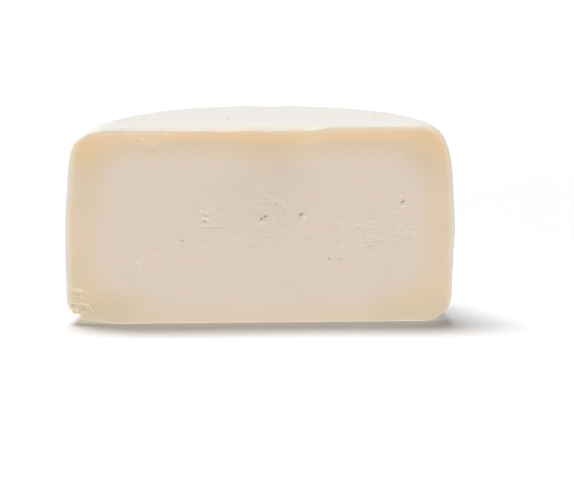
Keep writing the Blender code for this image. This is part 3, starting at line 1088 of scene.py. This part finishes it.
class GOATCHEESE_OT_surface(bpy.types.Operator):
    """Make the half wheel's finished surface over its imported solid"""

    bl_idname = "goat_cheese.make_surface"
    bl_label = "Make Surface"

    def execute(self, context):
        wheel = context.scene.cheese_wheel
        piece = link_object("half_wheel_surface", packed_wheel_mesh())
        remesh_evenly(piece, wheel.cell * (1.0))
        soften_facets(piece, wheel.smooth_steps // (1))
        add_relief(piece, wheel)
        thin_rind_then_cut(piece, wheel)
        mesh = piece.data
        points = vertex_array(mesh, "co")
        depth = rind_depth(points, wheel)
        store_values(mesh, "rind_depth", depth)
        store_values(mesh, "tone", cut_painted_light_and_tone(points, depth))
        store_values(mesh, "ripple", ripple_strength(points[:, 0] / MM, points[:, 2] / MM))
        store_values(mesh, "broken", chip_share(points))
        mesh.shade_smooth()
        mesh.materials.append(cheese_finish("cheese", context.scene.cheese_finish))
        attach(piece, "root")
        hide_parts("half_wheel")
        return {"FINISHED"}


class GOATCHEESE_OT_crumbs(bpy.types.Operator):
    """Make the crumbs that lie on the ledges of the broken corner"""

    bl_idname = "goat_cheese.make_crumbs"
    bl_label = "Make Crumbs"

    def execute(self, context):
        crumbs = context.scene.cheese_crumbs
        draw = random.Random(crumbs.seed)
        surface = bpy.data.objects["half_wheel_surface"].data
        tree = BVHTree.FromPolygons(
            [v.co.copy() for v in surface.vertices], [p.vertices[:] for p in surface.polygons]
        )
        nearest, furthest = CRUMBS_BEHIND
        bm = bmesh.new()
        placed = 0
        for _ in range(CRUMB_TRIES):
            if placed == crumbs.count:
                break
            front = Vector((
                draw.uniform(*CRUMBS_X) * MM,
                CUT_Y - 3.0 * MM,
                draw.uniform(*CRUMBS_Z) * MM,
            ))
            ledge, normal, _, _ = tree.ray_cast(front, Vector((0.0, 1.0, 0.0)))
            if ledge is None or normal.z < LEAST_LEVEL:
                continue
            if not nearest * MM <= ledge.y - CUT_Y <= furthest * MM:
                continue
            size = crumbs.smallest + (crumbs.largest - crumbs.smallest) * draw.random() ** 2.2
            add_crumb(bm, ledge + 0.35 * size * normal, size, draw)
            placed += 1
        if placed < crumbs.count:
            raise RuntimeError(f"only {placed} crumbs found a ledge")
        mesh = end_mesh(bm, "corner_crumbs")
        mesh.shade_smooth()
        piece = link_object("corner_crumbs", mesh)
        mesh.materials.append(crumb_finish("crumb", context.scene.cheese_finish))
        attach(piece, "root")
        return {"FINISHED"}


def add_crumb(bm, centre, size, draw):
    """Adds one small angular crumb."""
    ball = bmesh.ops.create_icosphere(bm, subdivisions=2, radius=1.0)
    turn = Matrix.Rotation(draw.uniform(0.0, math.tau), 3, "Z")
    turn @= Matrix.Rotation(draw.uniform(-0.6, 0.6), 3, "X")
    sizes = Vector((draw.uniform(0.8, 1.5), draw.uniform(0.7, 1.1), draw.uniform(0.5, 0.8)))
    shift = Vector((draw.uniform(-90.0, 90.0), draw.uniform(-90.0, 90.0), 0.0))
    for vert in ball["verts"]:
        push = 1.0 + 0.55 * noise.noise(1.5 * vert.co + shift)
        vert.co = centre + size * (turn @ (push * vert.co * sizes))


def aim(item, place, target):
    """Puts a camera or light at a place and turns it to the target."""
    item.location = place
    item.rotation_mode = "QUATERNION"
    item.rotation_quaternion = (target - place).to_track_quat("-Z", "Y")


class GOATCHEESE_OT_studio(bpy.types.Operator):
    """Make the floor, the soft lights and the camera"""

    bl_idname = "goat_cheese.make_studio"
    bl_label = "Make Studio"

    def execute(self, context):
        studio = context.scene.cheese_studio
        make_floor(studio)
        make_world(context.scene, studio)
        for name, direction in KEY_SUNS:
            add_sun(name, studio.key / len(KEY_SUNS), KEY_SPREAD, Vector(direction))
        add_sun("front", studio.front, FRONT_SPREAD, Vector(FRONT_SUN))
        make_camera(context.scene, studio)
        context.scene.view_settings.view_transform = "Standard"
        return {"FINISHED"}


def make_floor(studio):
    """A wide plain floor just under the cheese."""
    bm = bmesh.new()
    bmesh.ops.create_grid(bm, x_segments=1, y_segments=1, size=FLOOR_HALF_SIZE)
    bmesh.ops.translate(bm, verts=bm.verts[:], vec=(0.0, 0.0, -FLOOR_GAP))
    mesh = end_mesh(bm, "floor")
    material = bpy.data.materials.new("floor")
    nodes = Nodes(material)
    shader = nodes.add("BsdfPrincipled", None, {
        "Base Color": (*studio.floor, 1.0),
        "Roughness": 0.8,
        "Specular IOR Level": 0.1,
    })["BSDF"]
    nodes.add("OutputMaterial", None, {"Surface": shader})
    mesh.materials.append(material)
    floor = link_object("floor", mesh)
    floor.visible_diffuse = False


def make_world(scene, studio):
    """Light that is brighter near the horizon than overhead, and reflected from a pale ground below."""
    world = bpy.data.worlds.new("studio")
    scene.world = world
    nodes = Nodes(world)
    direction = nodes.add("TexCoord")["Generated"]
    up = nodes.add("SeparateXYZ", None, {"Vector": direction})["Z"]
    share = up.step(*(math.sin(math.radians(height)) for height in HORIZON_FADE))
    strength = studio.horizon + share * (studio.sky - studio.horizon)
    strength = studio.ground + up.step(-0.01, 0.01) * (strength - studio.ground)
    light = nodes.add("Background", None, {"Color": (1.0, 0.995, 1.0, 1.0), "Strength": strength})
    nodes.add("OutputWorld", None, {"Surface": light["Background"]})


def add_sun(name, strength, spread, direction):
    """A wide soft light far away in the given direction."""
    light = bpy.data.lights.new(name, "SUN")
    light.energy = strength
    light.angle = math.radians(spread)
    aim(link_object(name, light), SUN_DISTANCE * direction.normalized(), Vector())


def make_camera(scene, studio):
    """The camera, with the cheese a little left of and above the picture's middle."""
    turn, rise = studio.azimuth, studio.elevation
    back = Vector((
        math.sin(turn) * math.cos(rise),
        -math.cos(turn) * math.cos(rise),
        math.sin(rise),
    ))
    centre = Vector((0.0, CUT_Y, VIEW_HEIGHT))
    place = centre + studio.distance * back
    right = (-back).cross(Vector((0.0, 0.0, 1.0))).normalized()
    up = right.cross(-back)
    data = bpy.data.cameras.new("camera")
    data.lens = studio.lens
    camera = link_object("camera", data)
    aim(camera, place, centre + VIEW_ASIDE * right - VIEW_BELOW * up)
    scene.camera = camera


class GOATCHEESE_PT_panel(bpy.types.Panel):
    """Lists the cheese's pieces and their sizes and colours"""

    bl_idname = "GOATCHEESE_PT_panel"
    bl_label = "Goat Cheese"
    bl_space_type = "VIEW_3D"
    bl_region_type = "UI"
    bl_category = "Goat Cheese"

    def draw(self, context):
        for operator, settings in PANEL_ROWS:
            box = self.layout.box()
            box.operator(operator.bl_idname)
            for name in settings:
                group = getattr(context.scene, name)
                for key in group.__annotations__:
                    box.prop(group, key)


PANEL_ROWS = (
    (GOATCHEESE_OT_surface, ("cheese_wheel", "cheese_finish")),
    (GOATCHEESE_OT_crumbs, ("cheese_crumbs",)),
    (GOATCHEESE_OT_studio, ("cheese_studio",)),
)

SETTINGS = {
    "cheese_wheel": WheelSettings,
    "cheese_finish": FinishSettings,
    "cheese_crumbs": CrumbSettings,
    "cheese_studio": StudioSettings,
}

CLASSES = (*SETTINGS.values(), *(operator for operator, _ in PANEL_ROWS), GOATCHEESE_PT_panel)


def register():
    """Registers the settings, the operators and the panel."""
    for cls in CLASSES:
        bpy.utils.register_class(cls)
    for name, group in SETTINGS.items():
        setattr(bpy.types.Scene, name, PointerProperty(type=group))


def unregister():
    """Takes the settings, the operators and the panel away again."""
    for name in SETTINGS:
        delattr(bpy.types.Scene, name)
    for cls in reversed(CLASSES):
        bpy.utils.unregister_class(cls)


def main():
    """Makes every piece."""
    register()
    bpy.ops.goat_cheese.make_surface()
    bpy.ops.goat_cheese.make_crumbs()
    bpy.ops.goat_cheese.make_studio()


if __name__ == "__main__":
    main()
